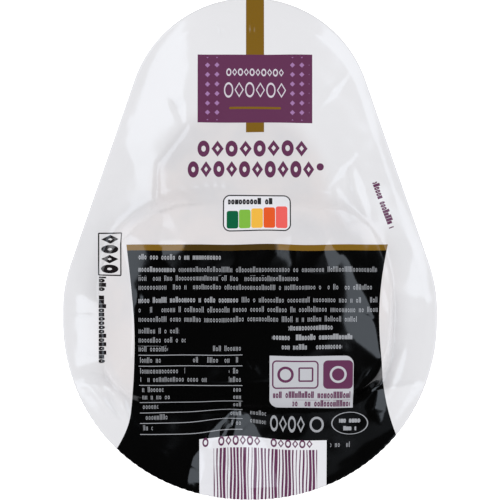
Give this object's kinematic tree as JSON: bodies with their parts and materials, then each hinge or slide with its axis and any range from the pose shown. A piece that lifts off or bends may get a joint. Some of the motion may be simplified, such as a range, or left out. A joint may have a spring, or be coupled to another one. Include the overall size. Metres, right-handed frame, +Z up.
{
  "type": "vacuum-sealed smoked cheese pack",
  "caption": "Bell-shaped vacuum pack with a flat sealed rim round the bulge of a pear-shaped smoked cheese, printed side up.",
  "frame": {"origin": "on the surface that the pack lies on, under the middle of its outline", "axes": "+X across the pack, +Y towards its narrow end, +Z up through the printed side"},
  "size_m": [0.1156, 0.155, 0.0452],
  "materials": {
    "film": "gloss"
  },
  "bodies": {
    "root": {"sealed_pack": "film"}
  },
  "joints": []
}
